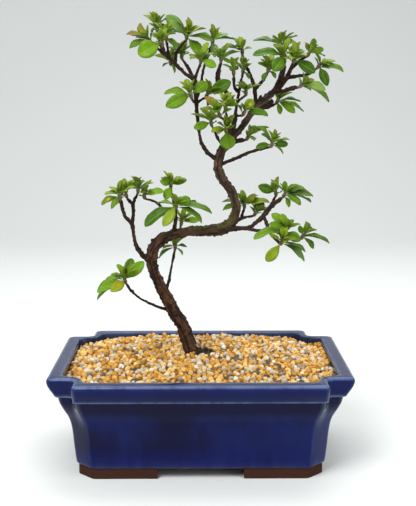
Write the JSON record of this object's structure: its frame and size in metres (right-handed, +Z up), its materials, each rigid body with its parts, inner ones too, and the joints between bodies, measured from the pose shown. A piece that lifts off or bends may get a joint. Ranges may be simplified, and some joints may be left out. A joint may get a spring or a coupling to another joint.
{
  "type": "potted satsuki azalea bonsai",
  "caption": "Informal upright azalea bonsai: a bending trunk with sparse leafy shoots, in a dark blue glazed pot with indented corners and gritty soil.",
  "frame": {"origin": "middle of the plane that the pot's feet stand on, under the middle of its rim", "axes": "+Z up, +X to the right and -Y towards the viewer as the picture shows it"},
  "size_m": [0.205, 0.155, 0.3096],
  "materials": {
    "glaze": "glossy cobalt glaze, feet left unglazed",
    "mesh": "matt black plastic netting",
    "soil": "loose porous clay and pumice grains",
    "bark": "fibrous flaking bark",
    "leaf": "half-glossy living leaf"
  },
  "bodies": {
    "root": {"pot": "glaze", "drain_screen_left": "mesh", "drain_screen_right": "mesh", "soil": "soil", "wood": "bark", "leaves_upper_left_1": "leaf", "leaves_upper_left_2": "leaf", "leaves_upper_left_3": "leaf", "leaves_upper_left_4": "leaf", "leaves_upper_left_5": "leaf", "leaves_upper_left_6": "leaf", "leaves_upper_left_7": "leaf", "leaves_upper_left_8": "leaf", "leaves_upper_mid_1": "leaf", "leaves_upper_mid_2": "leaf", "leaves_upper_mid_3": "leaf", "leaves_upper_mid_4": "leaf", "leaves_upper_mid_5": "leaf", "leaves_upper_mid_6": "leaf", "leaves_upper_right_1": "leaf", "leaves_upper_right_2": "leaf", "leaves_upper_right_3": "leaf", "leaves_upper_right_4": "leaf", "leaves_upper_right_5": "leaf", "leaves_upper_right_6": "leaf", "leaves_upper_right_7": "leaf", "leaves_upper_right_8": "leaf", "leaves_mid_1": "leaf", "leaves_mid_2": "leaf", "leaves_mid_3": "leaf", "leaves_mid_4": "leaf", "leaves_mid_5": "leaf", "leaves_mid_6": "leaf", "leaves_mid_7": "leaf", "leaves_mid_8": "leaf", "leaves_mid_9": "leaf", "leaves_mid_10": "leaf", "leaves_lower_left_1": "leaf", "leaves_lower_left_2": "leaf", "leaves_lower_left_3": "leaf", "leaves_lower_left_4": "leaf", "leaves_lower_left_5": "leaf", "leaves_lower_left_6": "leaf", "leaves_lower_left_7": "leaf", "leaves_lower_left_8": "leaf", "leaves_low_sprig": "leaf", "leaves_lower_right_1": "leaf", "leaves_lower_right_2": "leaf", "leaves_lower_right_3": "leaf", "leaves_lower_right_4": "leaf", "leaves_lower_right_5": "leaf", "leaves_lower_right_6": "leaf", "leaves_lower_right_7": "leaf"}
  },
  "joints": []
}
